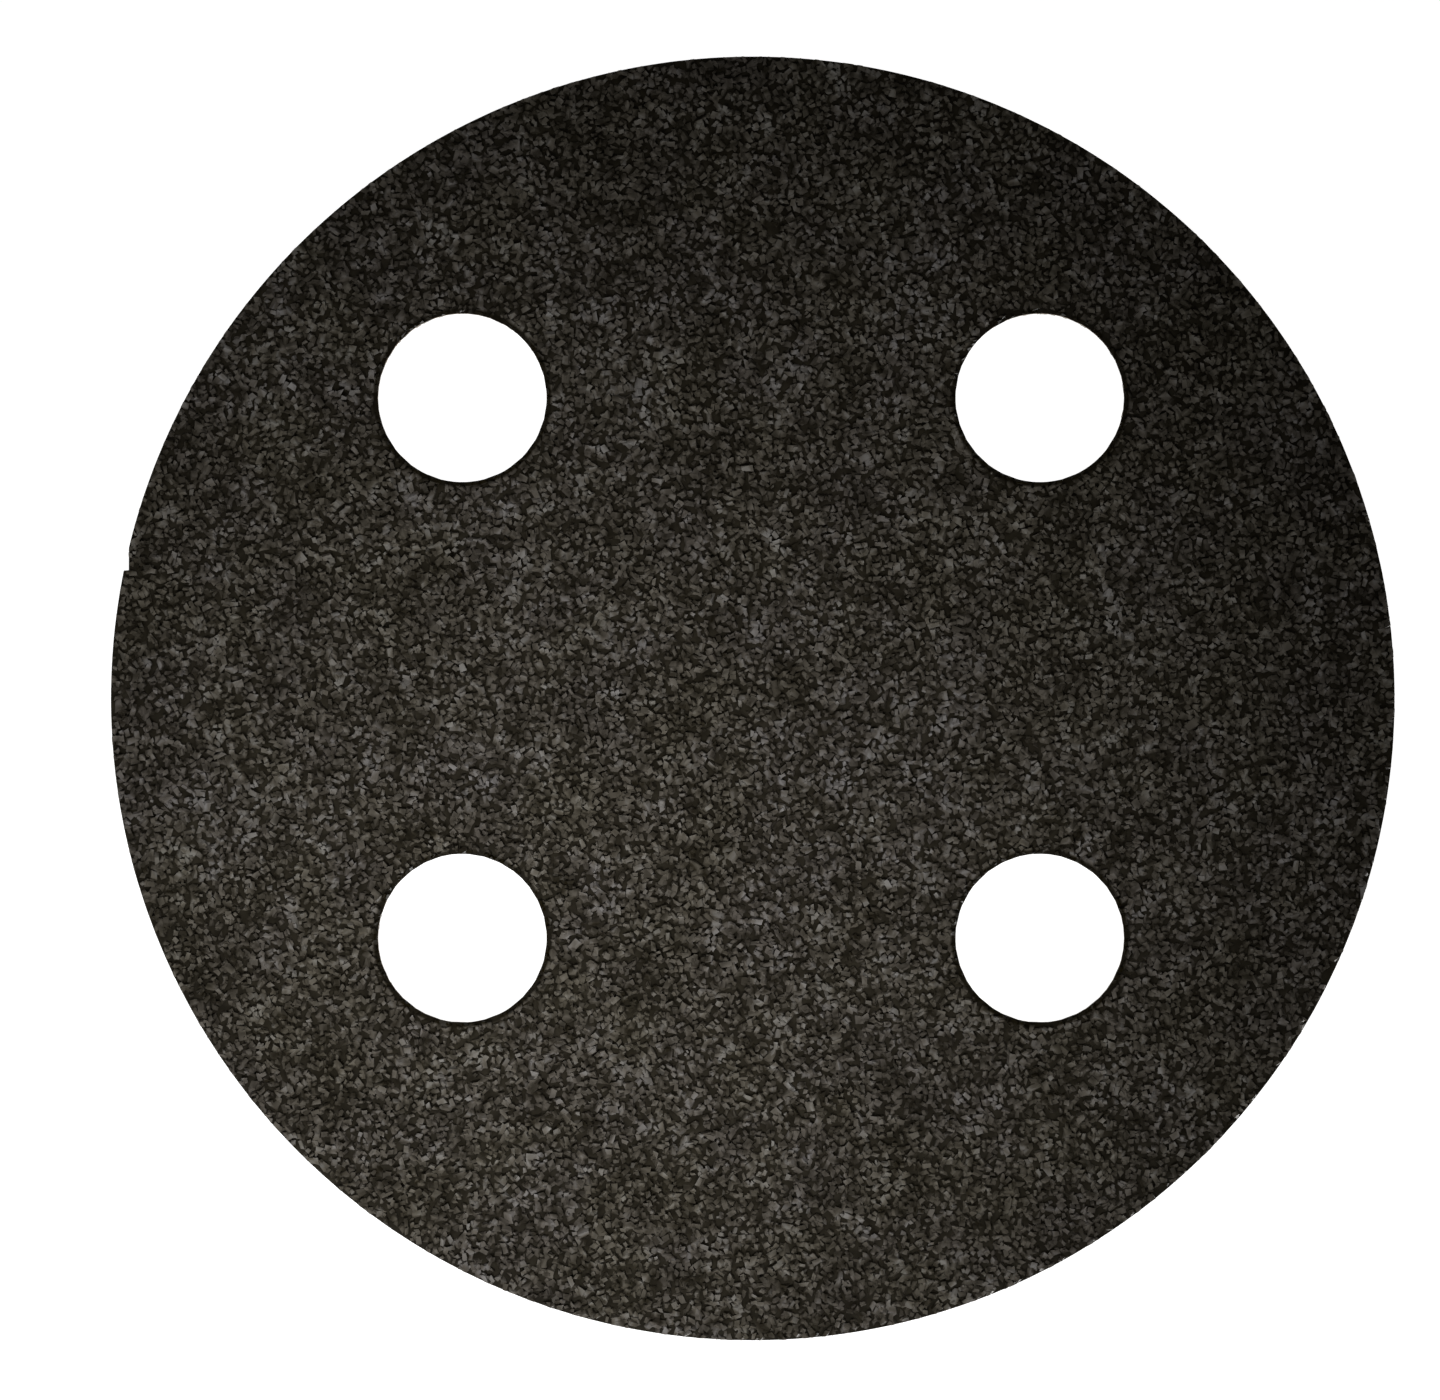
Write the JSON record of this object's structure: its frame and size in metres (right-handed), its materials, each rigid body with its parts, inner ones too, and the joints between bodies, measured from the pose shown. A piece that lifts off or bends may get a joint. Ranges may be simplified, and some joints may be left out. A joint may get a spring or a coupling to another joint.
{
  "type": "hook and loop sanding disc",
  "caption": "Round sanding disc with a coarse dark grit face on heavy paper, a loop fabric back that grips a hook pad, and round dust holes in a rectangular pattern.",
  "frame": {"origin": "centre of the loop side, on the surface that the disc lies on", "axes": "+Z out of the grit side, +Y towards the edge that the hole pattern sits nearer to, +X to the right seen from the grit side"},
  "size_m": [0.076, 0.076, 0.0018],
  "materials": {
    "loop_fabric": "brushed loops",
    "backing_paper": "rough cut edge",
    "grit_coat": "rough dark grains in resin"
  },
  "bodies": {
    "root": {"loop_fabric": "loop_fabric", "backing_paper": "backing_paper", "grit_coat": "grit_coat"}
  },
  "joints": []
}
